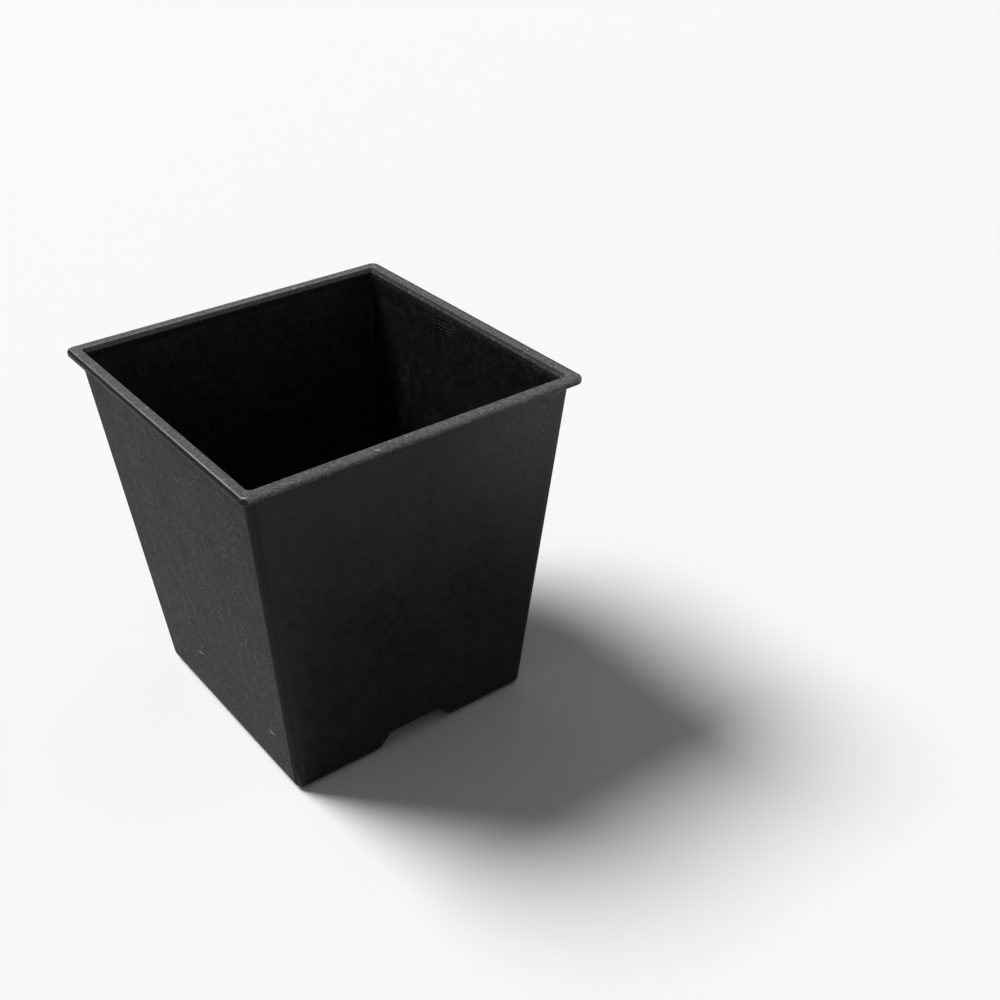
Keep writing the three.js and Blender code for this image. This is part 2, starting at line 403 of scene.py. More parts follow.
def crisp_wear_and_highlight(half, z, turns, turn, y):
    """How rubbed the top and the outer side are where the edge between them is crisp, with a painted
    highlight along the left side's top edge and round the near corner.
    """
    flat = near_top(FLAT_DEPTHS, z)
    wear_and_light = flat * TOP_WEAR * near_side((LIP_EDGE, CRISP_INSETS[turns]), half)
    # painted highlight along the left top edge and round the near corner
    wear_and_light += flat * highlight_line(turns, turn, y) * hump(RIM_HALF - LINE_INSET, LINE_WIDTH, half)
    wear_and_light += FACE_LINE_WEAR * hump(HEIGHT - FACE_LINE_DEPTH, FACE_LINE_WIDTH, z)
    if turns == LEFT:
        face = near_top(LEFT_FACE_DEPTHS, z) * near_top(LEFT_FACE_END_DEPTHS, z)
        wear_and_light += LEFT_FACE_WEAR * smooth(*LEFT_FACE_PLACES, y) * face
    return wear_and_light


def bevel_wear_and_light(z, turns, turn):
    """How rubbed the mouth's bevel is, with painted light on the back's bevel and a painted highlight
    along the right bevel's lower line.
    """
    # painted light on the back's bevel, wear on the other sides
    wear_and_light = lerp(BEVEL_WEAR_AND_LIGHT[turns], CORNER_BEVEL_WEAR, smooth(*BEVEL_TURNS, abs(turn)))
    wear_and_light *= near_top(BEVEL_DEPTHS, z)
    wear_and_light *= lerp(1.0, BEVEL_TOP_SHARE, near_top(BEVEL_TOP_DEPTHS, z))
    # painted highlight along the right bevel's lower line
    return wear_and_light + BEVEL_LINE_HIGHLIGHT[turns] * hump(HEIGHT - BEVEL_LINE_DEPTH, BEVEL_LINE_WIDTH, z)


def rim_wear_and_light(half, z, turns, turn, x, y):
    """How rubbed the rim is at a point, together with the light and reflection painted on it."""
    round_top = round_wear_and_light(z, turns, turn, x, y)
    crisp_top = crisp_wear_and_highlight(half, z, turns, turn, y)
    top = lerp(round_top, crisp_top, rim_crispness(turns, turn))
    mouth = max(bevel_wear_and_light(z, turns, turn), TOP_WEAR * near_top(FLAT_DEPTHS, z))
    return lerp(top, mouth, near_side(MOUTH_INSETS, half))


def lip_sink(half, x, y, z):
    """How far the uneven lip draws in at a point."""
    lip = smooth(LIP_UNDERSIDE - LIP_WAVE_START, LIP_UNDERSIDE + LIP_WAVE_START, z)
    lip *= near_side(LIP_WAVE_INSETS, half)
    sink = 0.0
    for size, shift, squeeze in LIP_WAVES:
        sink += LIP_WAVE * lip * (0.5 + 0.5 * wave((x, y, z * squeeze), size, shift))
    return sink


def rim_profile():
    """The rim's rows as (half, z, corner): from under the lip, over its top and into the mouth."""
    profile = [
        (wall_outer(RIM_BOTTOM), RIM_BOTTOM, WALL_CORNER, 0.0),
        (wall_outer(LIP_UNDERSIDE), LIP_UNDERSIDE, WALL_CORNER, UNDERLIP_ROUNDING),
        (RIM_HALF, LIP_UNDERSIDE, LIP_CORNER, LIP_EDGE),
        (RIM_HALF, HEIGHT, LIP_CORNER, LIP_EDGE),
    ]
    for inset in RIM_TOP_INSETS:
        profile.append((RIM_HALF - inset, HEIGHT, max(LIP_CORNER - inset, MOUTH_CORNER), 0.0))
    profile += [
        (wall_inner(BEVEL_BOTTOM) + MOUTH_BEVEL_RUN, HEIGHT, MOUTH_CORNER, MOUTH_EDGE),
        (wall_inner(BEVEL_BOTTOM), BEVEL_BOTTOM, INNER_CORNER, BEVEL_EDGE),
        (wall_inner(RIM_BOTTOM), RIM_BOTTOM, INNER_CORNER, 0.0),
    ]
    return rounded(profile)


def rim_point(skin, half, z, corner, turns, column):
    """Adds one point of the rim."""
    x, y = quarter_turns(*front_point(half, corner, column), turns)
    flat = half - corner
    sink = lip_sink(half, x, y, z)
    shrink = 1.0 - sink / RIM_HALF
    drop = TOP_SINK * sink * near_top(TOP_SINK_DEPTHS, z)
    wear_and_light = rim_wear_and_light(half, z, turns, column[0], x, y)
    side_grain = side_value(WALL_GRAIN, x, y, flat)
    top_grain = side_value(RIM_TOP_GRAIN, x, y, flat)
    grain = lerp(side_grain, top_grain, near_top(TOP_GRAIN_DEPTHS, z))
    edge = near_side(EDGE_DULL_INSETS, half) * near_top(EDGE_DULL_DEPTHS, z)
    dull = edge * side_value(EDGE_DULL, x, y, flat)
    skin.add((x * shrink, y * shrink, z - drop), wear_and_light, grain, dull=dull)


def make_rim():
    skin = Skin()
    rows = rim_profile()
    # The last column of a side is the first of the next
    columns = COLUMNS[:-1]
    for half, z, corner in rows:
        for turns in range(len(SIDE_NAMES)):
            for column in columns:
                rim_point(skin, half, z, corner, turns, column)
    count = len(SIDE_NAMES) * len(columns)
    make_piece("rim_skin", "rim", skin, grid_faces(len(rows), count, True, True))


# Walls

# How far the walls draw in, and how uneven they are between their calm edges
WALL_BOW = 0.22
BOW_POWER = 1.5
WALL_WAVE = 0.035
WALL_WAVE_MIDDLE = 0.4
WIDE_WAVE_SIZE = 16.0
WIDE_WAVE_SHIFT = 5.0
FINE_WAVE_SIZE = 6.0
FINE_WAVE_SHIFT = 11.0
FINE_WAVE_SHARE = 0.5
INSIDE_WAVE_SHIFT = 2.0
CALM_BOTTOM = 0.12
CALM_TOP = 0.94
CALM_SIDE = 0.9

# The walls over the notches, and where along them the notch's rounded edge fades out
NOTCHED = (FRONT, BACK)
NOTCH_FADE = (NOTCH_HALF_HIGH + 0.2, NOTCH_HALF_HIGH - 0.6)

# A painted reflection under the rim at the front wall's right end
FRONT_PAINTED_REFLECTION = 0.16
REFLECTION_PLACES = (0.0, 44.0)
REFLECTION_HEIGHTS = (58.0, 92.0)
REFLECTION_TURNS = (0.5, 0.9)

# Dust on the inside, with painted light on the back wall's top and painted shade low down on the right
# wall, which also has a strip with more marks
BACK_DUST_AND_LIGHT = 2.4
BACK_DUST_AND_LIGHT_HEIGHTS = (45.0, 90.0)
RIGHT_LOW_DUST_AND_SHADE = 0.3
RIGHT_SHADE_HEIGHTS = (78.0, 88.0)
LIGHTER_STRIP = 1.5
STRIP_PLACE = 23.0
STRIP_WIDTH = 5.0
STRIP_HEIGHTS = (86.0, 66.0)


def wall_shift(x, y, z, along, turns, inner):
    """How far a point of a wall moves towards the pot's middle."""
    height = (z - FOOT_HEIGHT) / (RIM_BOTTOM - FOOT_HEIGHT)
    level = math.sin(math.pi * height) if 0.0 < height < 1.0 else 0.0
    bow = WALL_BOW * level * (1.0 - along * along) ** BOW_POWER
    calm = smooth(0.0, CALM_BOTTOM, height) * smooth(1.0, CALM_TOP, height)
    calm *= smooth(1.0, CALM_SIDE, abs(along))
    shift = INSIDE_WAVE_SHIFT if inner else 0.0
    ripple = wave((x, y, z), WIDE_WAVE_SIZE, WIDE_WAVE_SHIFT * turns + shift)
    ripple += FINE_WAVE_SHARE * wave((x, y, z), FINE_WAVE_SIZE, FINE_WAVE_SHIFT + turns + shift)
    return bow + WALL_WAVE * calm * (WALL_WAVE_MIDDLE + ripple)


def front_painted_reflection(x, y, z, flat):
    """A painted reflection on the front wall, which ends before the corner."""
    level = smooth(*REFLECTION_PLACES, x) * smooth(*REFLECTION_HEIGHTS, z)
    return FRONT_PAINTED_REFLECTION * level * smooth(*REFLECTION_TURNS, corner_turn(x, y, flat))


def inside_dust_and_light(turns, y, z):
    """How dusty the inside is, and where light and shade are painted: more at the back wall's top, which
    is partly painted light, and less low down on the right wall, which is painted shade, with a strip of
    more marks there.
    """
    if turns == RIGHT:
        # an upright strip with more of the pale marks, which makes it lighter
        strip = LIGHTER_STRIP * hump(STRIP_PLACE, STRIP_WIDTH, y) * smooth(*STRIP_HEIGHTS, z)
        # fewer marks low down on the right wall: painted shade
        return max(strip, lerp(RIGHT_LOW_DUST_AND_SHADE, 1.0, smooth(*RIGHT_SHADE_HEIGHTS, z)))
    if turns == BACK:
        # painted light on the back wall's top, with dust
        return lerp(1.0, BACK_DUST_AND_LIGHT, smooth(*BACK_DUST_AND_LIGHT_HEIGHTS, z))
    return 1.0


def wall_outer_rows():
    """Height of each outer row, and how far it draws in at the notch's rounded edge."""
    rows = []
    for step in range(EDGE_STEPS + 1):
        turn = QUARTER * step / EDGE_STEPS
        rows.append((FOOT_HEIGHT + NOTCH_EDGE * (1 - math.cos(turn)), NOTCH_EDGE * (1 - math.sin(turn))))
    start = FOOT_HEIGHT + NOTCH_EDGE
    rows += [(lerp(start, RIM_BOTTOM, row / WALL_ROWS), 0.0) for row in range(1, WALL_ROWS + 1)]
    return rows


def outer_row(skin, turns, z, draw):
    """Adds one row of a wall's outside."""
    half = wall_outer(z)
    flat = half - WALL_CORNER
    for column in COLUMNS:
        x, y = front_point(half, WALL_CORNER, column)
        shift = wall_shift(x, y, z, column[1], turns, False)
        if turns in NOTCHED:
            shift += draw * smooth(*NOTCH_FADE, abs(x))
        spot = (*quarter_turns(x, y + shift, turns), z)
        x, y = quarter_turns(x, y, turns)
        # the front wall's top right has a painted reflection, carried in the wear field
        wear_and_light = front_painted_reflection(x, y, z, flat) if turns == FRONT else 0.0
        skin.add(spot, wear_and_light, wall_grain(x, y, z, flat), dull=corner_dull(x, y, flat))


def inner_row(skin, turns, z):
    """Adds one row of a wall's inside."""
    for column in COLUMNS:
        turn, along = column
        x, y = front_point(wall_inner(z), INNER_CORNER, column)
        shift = wall_shift(x, y, z, along, turns, True)
        spot = (*quarter_turns(x, y + shift, turns), z)
        dust = inside_dust_and_light(turns, quarter_turns(x, y, turns)[1], z)
        skin.add(spot, 0.0, INSIDE_GRAIN[turns], dust, INSIDE_CORNER_DULL if turn else 0.0)


def make_wall(name, node, turns):
    skin = Skin()
    outer = wall_outer_rows()
    for z, draw in outer:
        outer_row(skin, turns, z, draw)
    for row in range(WALL_ROWS + 1):
        inner_row(skin, turns, lerp(RIM_BOTTOM, FOOT_HEIGHT, row / WALL_ROWS))
    rows = len(outer) + WALL_ROWS + 1
    count = len(COLUMNS)
    faces = grid_faces(rows, count, True, False)
    for column in (0, count - 1):
        faces.append(tuple(row * count + column for row in range(rows)))
    make_piece(name, node, skin, faces)


# Feet

# Heights of a foot's rows, and of its hollow's rows over the bottom, close together where an edge is round
FOOT_LEVELS = (
    0.0, 0.012, 0.05, 0.11, 0.2, 0.32, 0.45, 0.62, 0.82,
    1.06, 1.34, 1.66, 2.0, 2.36, 3.0, 3.7, 4.45, FOOT_HEIGHT,
)
TROUGH_RISES = (0.0, 0.015, 0.06, 0.13, 0.23, 0.35, 0.5, 0.7, 0.95, 1.25, 1.7, 2.3, 3.1)

LEAST_FOOT_CORNER = 0.25
LEAST_TROUGH_CORNER = 0.15
LEAST_NOSE = 0.3
FOOT_WEAR = 0.05
FOOT_WEAR_HEIGHTS = (0.3, 0.02)


def arc(x, y, radius, start, end, steps):
    turns = [lerp(start, end, step / steps) for step in range(steps + 1)]
    return [(x + radius * math.cos(turn), y + radius * math.sin(turn)) for turn in turns]


def straight(start, end, steps):
    """The points strictly between two ends."""
    shares = [step / steps for step in range(1, steps)]
    return [(lerp(start[0], end[0], share), lerp(start[1], end[1], share)) for share in shares]


def foot_loop(out, corner, recess, end_round):
    """The plan of the right foot: along its outside from front to back, then home along the recess."""
    gap, half, recess_corner, nose = recess
    flat = out - corner
    turn = half - recess_corner
    parts = [
        arc(gap + end_round, end_round - out, end_round, math.pi, math.pi + QUARTER, END_ARC_STEPS),
        arc(flat, -flat, corner, -QUARTER, 0.0, 2 * CORNER_STEPS),
        arc(flat, flat, corner, 0.0, QUARTER, 2 * CORNER_STEPS),
        arc(gap + end_round, out - end_round, end_round, QUARTER, math.pi, END_ARC_STEPS),
        arc(gap + nose, half + nose, nose, math.pi, math.pi + QUARTER, ARC_STEPS),
        arc(turn, turn, recess_corner, QUARTER, 0.0, ARC_STEPS),
        arc(turn, -turn, recess_corner, 0.0, -QUARTER, ARC_STEPS),
        arc(gap + nose, -half - nose, nose, QUARTER, math.pi, ARC_STEPS),
    ]
    steps = [FOOT_FLAT_STEPS // 2, FOOT_FLAT_STEPS, FOOT_FLAT_STEPS // 2, FOOT_END_STEPS] * 2
    loop = []
    for index, part in enumerate(parts):
        loop += part
        loop += straight(part[-1], parts[(index + 1) % len(parts)][0], steps[index])
    return loop


def rounding(radius, height):
    """How far an edge of this radius draws in at a height above the face that it starts from."""
    if height >= radius:
        return 0.0
    return radius - math.sqrt(max(radius * radius - (radius - height) ** 2, 0.0))


def filleted(outline, bottom, fillet, corner, least_corner, z):
    """Half width and corner, at a height, of a leaning outline with a rounded bottom edge."""
    rise = z - bottom
    tangent = fillet * (1 - math.sin(WALL_LEAN))
    if rise >= tangent:
        return outline(z), corner
    centre = outline(bottom + tangent) - fillet * math.cos(WALL_LEAN)
    half = centre + math.sqrt(max(fillet**2 - (fillet - rise) ** 2, 0.0))
    return half, max(corner - (outline(z) - half), least_corner)


def recess_sides(z, thickness, draw):
    """Half gap of the channel, half width, corner and nose of the recess at a height."""
    gap = NOTCH_HALF_LOW - NOTCH_SLOPE * z + thickness * math.hypot(1.0, NOTCH_SLOPE)
    half = RECESS_HALF - RECESS_DRAFT * z / FOOT_HEIGHT + thickness
    corner = RECESS_CORNER + thickness
    nose = max(FOOT_NOSE - thickness, LEAST_NOSE)
    return gap + draw, half + draw, corner + draw, nose - draw


def foot_row(skin, side, z):
    """Adds the foot's outside and the recess at a height. Returns the number of points."""
    out, corner = filleted(wall_outer, 0.0, FOOT_FILLET, WALL_CORNER, LEAST_FOOT_CORNER, z)
    loop = foot_loop(out, corner, recess_sides(z, 0.0, rounding(RECESS_EDGE, z)), FOOT_END)
    wear_and_light = FOOT_WEAR * smooth(*FOOT_WEAR_HEIGHTS, z)
    for x, y in loop:
        grain = PLAIN_GRAIN
        dull = 0.0
        if max(abs(x), abs(y)) > out - FOOT_END:
            grain = wall_grain(side * x, side * y, z, out - corner)
            dull = corner_dull(x, y, out - corner)
        skin.add((side * x, side * y, z), wear_and_light, grain, dull=dull)
    return len(loop)


def trough_row(skin, side, z):
    """Adds the hollow in the foot at a height."""
    out, corner = filleted(wall_inner, FLOOR, INNER_FILLET, INNER_CORNER, LEAST_TROUGH_CORNER, z)
    recess = recess_sides(z, FLOOR, rounding(TROUGH_EDGE, z - FLOOR))
    for x, y in foot_loop(out, corner, recess, TROUGH_END):
        skin.add((side * x, side * y, z))


def make_foot(name, node, side):
    skin = Skin()
    for z in FOOT_LEVELS:
        count = foot_row(skin, side, z)
    trough_levels = [FOOT_HEIGHT] + [FLOOR + rise for rise in reversed(TROUGH_RISES)]
    for z in trough_levels:
        trough_row(skin, side, z)
    rows = len(FOOT_LEVELS) + len(trough_levels)
    faces = grid_faces(rows, count, False, True)
    faces.append(tuple(reversed(range(count))))
    faces.append(tuple(range((rows - 1) * count, rows * count)))
    make_piece(name, node, skin, faces)


# Drain floor


def plate_loop(z, draw):
    """The floor's outline: the recess, and the channel's end at the front and at the back."""
    gap, half, corner, nose = recess_sides(FOOT_HEIGHT, FLOOR, -draw)
    out = wall_inner(z)
    turn = half - corner
    parts = [
        [(gap, -out)],
        arc(gap + nose, -half - nose, nose, math.pi, QUARTER, ARC_STEPS),
        arc(turn, -turn, corner, -QUARTER, 0.0, ARC_STEPS),
        arc(turn, turn, corner, 0.0, QUARTER, ARC_STEPS),
        arc(gap + nose, half + nose, nose, -QUARTER, -math.pi, ARC_STEPS),
        [(gap, out)],
    ]
    right = [point for part in parts for point in part]
    return right + [(-x, -y) for x, y in right]


def plate_rows():
    """The floor's outline from its underside to its top, whose edge is rounded."""
    rows = [(plate_loop(FOOT_HEIGHT, 0.0), FOOT_HEIGHT)]
    for step in range(EDGE_STEPS + 1):
        turn = QUARTER * step / EDGE_STEPS
        z = FLOOR_TOP - PLATE_EDGE * (1 - math.sin(turn))
        rows.append((plate_loop(z, PLATE_EDGE * (1 - math.cos(turn))), z))
    return rows


def slot_loop(x, y, grow):
    corner = SLOT_CORNER + grow
    across = SLOT_WIDTH / 2 - SLOT_CORNER
    along = SLOT_LENGTH / 2 - SLOT_CORNER
    parts = [
        arc(x + across, y - along, corner, -QUARTER, 0.0, SLOT_ARC_STEPS),
        arc(x + across, y + along, corner, 0.0, QUARTER, SLOT_ARC_STEPS),
        arc(x - across, y + along, corner, QUARTER, math.pi, SLOT_ARC_STEPS),
        arc(x - across, y - along, corner, math.pi, math.pi + QUARTER, SLOT_ARC_STEPS),
    ]
    return [point for part in parts for point in part]


def slot_rows(x, y):
    """A slot's outline from the floor's underside to its top, with both edges rounded."""
    turns = [QUARTER * step / SLOT_EDGE_STEPS for step in range(SLOT_EDGE_STEPS + 1)]
    levels = []
    for turn in turns:
        levels.append((SLOT_EDGE * (1 - math.sin(turn)), FOOT_HEIGHT + SLOT_EDGE * (1 - math.cos(turn))))
    for turn in turns:
        levels.append((SLOT_EDGE * (1 - math.cos(turn)), FLOOR_TOP - SLOT_EDGE * (1 - math.sin(turn))))
    return [(slot_loop(x, y, grow), z) for grow, z in levels]


def slot_centres():
    """The middles of the slots, which lie in pairs in square rows."""
    span = 2 * (RECESS_HALF - SLOT_MARGIN) - SLOT_LENGTH
    pitch = span / (SLOT_ROWS - 1)
    for row in range(SLOT_ROWS):
        for column in range(SLOT_ROWS):
            for side in (-1, 1):
                x = column * pitch - span / 2 + side * SLOT_PAIR_SPACING / 2
                yield x, row * pitch - span / 2


def inside(point, loop):
    """Whether a point lies inside a loop."""
    x, y = point
    crossed = False
    for index, (x1, y1) in enumerate(loop):
        x0, y0 = loop[index - 1]
        if (y0 > y) != (y1 > y) and x < x0 + (x1 - x0) * (y - y0) / (y1 - y0):
            crossed = not crossed
    return crossed


def plate_face(loops, starts):
    """Triangles between the first loop and the loops inside it, as indices of the points."""
    flat, indices, edges = [], [], []
    for loop, start in zip(loops, starts):
        first = len(flat)
        flat += [Vector(point) for point in loop]
        indices += [start + step for step in range(len(loop))]
        edges += [(first + step, first + (step + 1) % len(loop)) for step in range(len(loop))]
    spots, _, triangles, sources, _, _ = delaunay_2d_cdt(flat, edges, [], 0, MERGE_DISTANCE)
    faces = []
    for triangle in triangles:
        middle = sum((spots[corner] for corner in triangle), Vector((0.0, 0.0))) / len(triangle)
        if inside(middle, loops[0]) and not any(inside(middle, loop) for loop in loops[1:]):
            faces.append(tuple(indices[sources[corner][0]] for corner in triangle))
    return faces


def add_rows(skin, faces, rows):
    """Adds rows of points and the quads between them. Returns the first points of the end rows."""
    first = len(skin.points)
    count = len(rows[0][0])
    for loop, z in rows:
        for x, y in loop:
            skin.add((x, y, z))
    for face in grid_faces(len(rows), count, False, True):
        faces.append(tuple(first + corner for corner in face))
    return first, first + (len(rows) - 1) * count


def make_floor():
    skin = Skin()
    faces = []
    sides = [plate_rows()] + [slot_rows(x, y) for x, y in slot_centres()]
    starts = [add_rows(skin, faces, rows) for rows in sides]
    for end in (0, -1):
        faces += plate_face([rows[end][0] for rows in sides], [start[end] for start in starts])
    make_piece("drain_floor_skin", "drain_floor", skin, faces)


# Materials

# Places of the colour sockets on a Mix node
MIX_FIRST = 6
MIX_SECOND = 7
MIX_RESULT = 2


class Nodes:
    """Short calls for adding and linking nodes in one tree."""

    def __init__(self, tree):
        self.tree = tree

    def add(self, kind, **settings):
        node = self.tree.nodes.new(kind)
        for key, value in settings.items():
            setattr(node, key, value)
        return node

    def put(self, socket, value):
        """Links an output to a socket, or sets the socket's own value."""
        if isinstance(value, bpy.types.NodeSocket):
            self.tree.links.new(value, socket)
        else:
            socket.default_value = value

    def set(self, node, **values):
        for key, value in values.items():
            self.put(node.inputs[key.replace("_", " ")], value)

    def attribute(self, name):
        return self.add("ShaderNodeAttribute", attribute_name=name).outputs["Fac"]

    def noise(self, vector, scale, detail, rough):
        node = self.add("ShaderNodeTexNoise")
        self.set(node, Vector=vector, Scale=scale, Detail=detail, Roughness=rough)
        return node.outputs["Fac"]

    def span(self, value, low, high, to_low, to_high):
        """Takes the values between low and high to those between to_low and to_high, and no further."""
        node = self.add("ShaderNodeMapRange", clamp=True)
        self.set(node, Value=value, From_Min=low, From_Max=high, To_Min=to_low, To_Max=to_high)
        return node.outputs["Result"]

    def math(self, operation, first, second):
        node = self.add("ShaderNodeMath", operation=operation)
        self.put(node.inputs[0], first)
        self.put(node.inputs[1], second)
        return node.outputs["Value"]

    def times(self, first, second):
        return self.math("MULTIPLY", first, second)

    def plus(self, first, second):
        return self.math("ADD", first, second)

    def distance(self, first, second):
        node = self.add("ShaderNodeVectorMath", operation="DISTANCE")
        self.put(node.inputs[0], first)
        self.put(node.inputs[1], second)
        return node.outputs["Value"]

    def mapped(self, vector, scale, turn=(0.0, 0.0, 0.0), place=(0.0, 0.0, 0.0), kind="POINT"):
        node = self.add("ShaderNodeMapping", vector_type=kind)
        self.set(node, Vector=vector, Location=place, Rotation=turn, Scale=scale)
        return node.outputs["Vector"]

    def mix(self, share, first, second):
        node = self.add("ShaderNodeMix", data_type="RGBA")
        self.set(node, Factor=share)
        self.put(node.inputs[MIX_FIRST], first)
        self.put(node.inputs[MIX_SECOND], second)
        return node.outputs[MIX_RESULT]


def new_material(name):
    material = bpy.data.materials.new(name)
    material.use_nodes = True
    material.node_tree.nodes.clear()
    return material, Nodes(material.node_tree)


# Plastic

# Noises: scale per millimetre, detail and roughness
NOISES = {
    "cloud": (0.07, 3.0, 0.6),
    "mottle": (0.4, 3.0, 0.6),
    "patch": (0.16, 3.0, 0.6),
    "fine": (1.6, 2.0, 0.65),
    "bend": (0.85, 2.0, 0.6),
    "bend_places": (0.45, 2.0, 0.5),
    "speck_size": (0.42, 1.0, 0.5),
    "broken_ripple": (0.5, 2.0, 0.5),
    "streak": (1.0, 3.0, 0.6),
    "smear": (0.3, 4.0, 0.68),
    "flecks": (1.5, 2.0, 0.6),
    "blotch": (1.7, 3.0, 0.65),
    "spots": (0.9, 2.0, 0.6),
}

NOISE_MIDDLE = 0.5

# Spans: the values that are taken, and the values that they become
SPANS = {
    "cloud": (0.42, 0.68, 0.0, 0.3),
    "cloud_roughness": (0.3, 0.7, -0.03, 0.03),
    "mottle": (0.3, 0.7, 0.0, 1.0),
    "mottle_roughness": (0.3, 0.7, 0.21, 0.29),
    "patch": (0.44, 0.58, 0.08, 1.15),
    "dust": (0.53, 0.68, 0.0, 1.0),
    "pits": (0.3, 0.44, 1.0, 0.0),
    "bend": (0.008, 0.04, 0.7, 0.0),
    "bend_places": (0.54, 0.64, 0.0, 1.0),
    "speck_size": (0.6, 0.8, 0.0, 0.12),
    "ripple": (1.6, 4.0, 1.0, 0.0),
    "broken_ripple": (0.4, 0.6, 0.2, 1.0),
    "streak": (0.5, 0.66, 0.0, 1.0),
    "smear": (0.48, 0.66, 0.0, 1.0),
    "settled_dust_and_light": (0.36, 0.74, 0.2, 1.0),
    "dust_and_light_places": (1.0, BACK_DUST_AND_LIGHT, 0.0, 1.0),
    "flecks": (0.36, 0.52, 1.0, 0.0),
    "nick": (0.4, 1.0, 1.0, 0.0),
    "blotch": (0.36, 0.64, -0.65, 0.75),
    "blotch_grain": (0.1, 0.4, 0.7, 1.0),
    "spots": (0.61, 0.66, 0.0, 1.7),
    "bare": (1.4, 2.7, 0.0, 1.0),
}

# The two greys of the plastic, then the layers over them from the bottom up: mark, share and grey
PLASTIC_GREYS = (0.005, 0.010)
LAYERS = (
    ("cloud", 1.0, 0.014),
    ("streak", 0.35, 0.02),
    ("smear", 0.6, 0.024),
    # settled dust, with painted light at the back wall's top
    ("settled_dust_and_light", 1.0, 0.042),
    ("flecks", 0.8, 0.003),
    ("scratch", 0.5, 0.05),
    ("dust", 1.0, 0.05),
    # rubbed places, with painted light in them as well
    ("rubbed_and_painted_light", 1.0, 0.17),
    # painted highlight where the wear value is highest: the left top edge's line, the near corner and the
    # back bevel
    ("bare", 1.0, 0.6),
    ("nick", 0.8, 0.36),
    ("specks", 0.7, 0.12),
)
BLUE_TINT = 1.02

# How much rougher each mark makes the plastic
ROUGHNESS_SHARES = (("grain", 0.36), ("pits", 0.16), ("scratch", 0.12), ("wear_and_light", 0.25), ("dull", 0.6))

# Heights of the marks in the bump, whose distance is in metres
BEND_HEIGHT = 0.25
SCRATCH_HEIGHT = -0.35
RIPPLE_HEIGHT = 2.4
BUMP_STRENGTH = 0.8
BUMP_DISTANCE = 0.0001

PLASTIC_IOR = 1.5
PLASTIC_SPECULAR = 0.14

# The grain's stretch and slant, and the scales of the specks and of the streaks down the inside
GRAIN_STRETCH = (1.3, 2.0, 1.0)
GRAIN_SLANT = math.radians(-36.0)
SPECK_SCALE = 0.3
STREAK_STRETCH = (0.16, 0.16, 0.035)

# The ripples' middle, shape and waves
RIPPLE_PLACE = (41.0, 6.4, 88.0)
RIPPLE_SHAPE = (1.0, 0.45, 1.0)
RIPPLE_WAVES = {"Scale": 0.36, "Distortion": 12.0, "Detail": 2.0, "Detail_Scale": 0.3}

# Fine scratches in two directions: stretch, turn, noise and span
SCRATCHES = (
    ((0.5, 0.05, 1.6), (0.35, 0.2, 0.5), (2.2, 1.0, 0.5), (0.79, 0.81, 0.0, 1.0)),
    ((0.06, 0.6, 1.5), (-0.5, 0.4, -0.3), (2.4, 1.0, 0.5), (0.79, 0.815, 0.0, 1.0)),
)

# Single marks as place, half sizes and slant: two scratches on the left wall, then two nicks in the rim
SINGLE_MARKS = (
    ((-35.7, 11.5, 15.7), (2.0, 2.0, 0.28), -15.6),
    ((-35.5, -25.3, 13.9), (2.0, 1.8, 0.28), -7.2),
    ((-12.1, -44.0, HEIGHT), (0.8, 0.35, 0.6), 0.0),
    ((17.9, 42.4, HEIGHT - 0.1), (0.7, 0.6, 0.8), 0.0),
)


def grey(value):
    return (value, value, value * BLUE_TINT, 1.0)


def noise_span(nodes, vector, name):
    return nodes.span(nodes.noise(vector, *NOISES[name]), *SPANS[name])


def grain_marks(nodes, place, amount):
    """Fine grain, drawn out aslant in patches, with dust, pits and short bent marks among it."""
    slanted = nodes.mapped(place, GRAIN_STRETCH, (GRAIN_SLANT, 0.0, 0.0), kind="TEXTURE")
    fine = nodes.noise(slanted, *NOISES["fine"])
    patch = noise_span(nodes, place, "patch")
    patchy = nodes.times(patch, amount)
    bend = nodes.math("SUBTRACT", nodes.noise(slanted, *NOISES["bend"]), NOISE_MIDDLE)
    bend = nodes.span(nodes.math("ABSOLUTE", bend, 0.0), *SPANS["bend"])
    bend = nodes.times(bend, noise_span(nodes, place, "bend_places"))
    dust = nodes.times(nodes.span(fine, *SPANS["dust"]), patchy)
    return {
        "fine": nodes.times(fine, patch),
        "bend": bend,
        "dust": nodes.math("MAXIMUM", dust, nodes.times(bend, amount)),
        "pits": nodes.times(nodes.span(fine, *SPANS["pits"]), patchy),
    }


def specks(nodes, place, amount):
    """Small pale specks, here and there in the grain."""
    cells = nodes.add("ShaderNodeTexVoronoi", feature="F1")
    nodes.set(cells, Vector=place, Scale=SPECK_SCALE, Randomness=1.0)
    near = nodes.math("LESS_THAN", cells.outputs["Distance"], noise_span(nodes, place, "speck_size"))
    return nodes.times(near, amount)


def scratches(nodes, place):
    """Fine scratches in two directions."""
    total = 0.0
    for stretch, turn, settings, span in SCRATCHES:
        scratch = nodes.noise(nodes.mapped(place, stretch, turn), *settings)
        total = nodes.math("MAXIMUM", nodes.span(scratch, *span), total)
    return total


def single_marks(nodes, place):
    """The single scratches and nicks."""
    total = 0.0
    for middle, size, slant in SINGLE_MARKS:
        turn = (math.radians(slant), 0.0, 0.0)
        offset = nodes.mapped(place, size, turn, middle, "TEXTURE")
        spot = nodes.span(nodes.distance(offset, (0.0, 0.0, 0.0)), *SPANS["nick"])
        total = nodes.math("MAXIMUM", spot, total)
    return total


